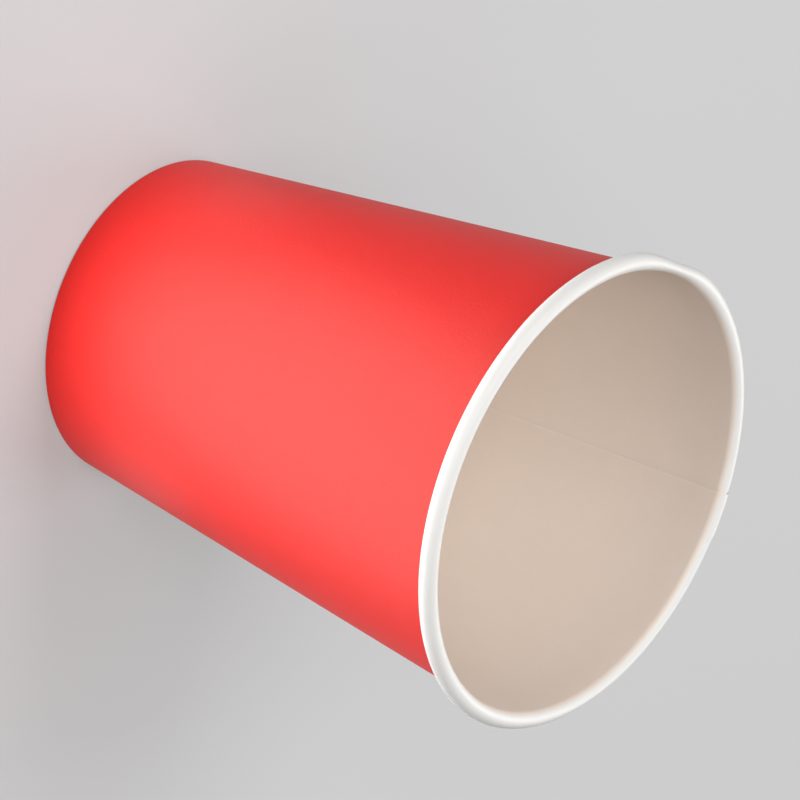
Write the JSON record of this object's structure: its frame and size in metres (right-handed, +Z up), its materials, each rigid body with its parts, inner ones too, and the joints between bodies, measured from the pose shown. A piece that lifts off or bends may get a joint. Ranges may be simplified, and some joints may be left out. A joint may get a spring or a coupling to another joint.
{
  "type": "paper cup",
  "caption": "Tapered single-wall paper cup for hot drinks, with a rolled rim, a lapped side seam and a recessed base held in a turned-up hem.",
  "frame": {"origin": "middle of the foot ring, on the surface that the cup stands on", "axes": "+Z up along the cup's axis to the mouth, +Y towards the lap seam, which is at the back"},
  "size_m": [0.08, 0.08, 0.094],
  "materials": {
    "printed_board": "satin red print outside, bare white board with a thin clear film inside",
    "base_board": "unprinted white board, with a thin clear film on its upper side"
  },
  "bodies": {
    "root": {"side_wall": "printed_board", "base_disc": "base_board"}
  },
  "joints": []
}
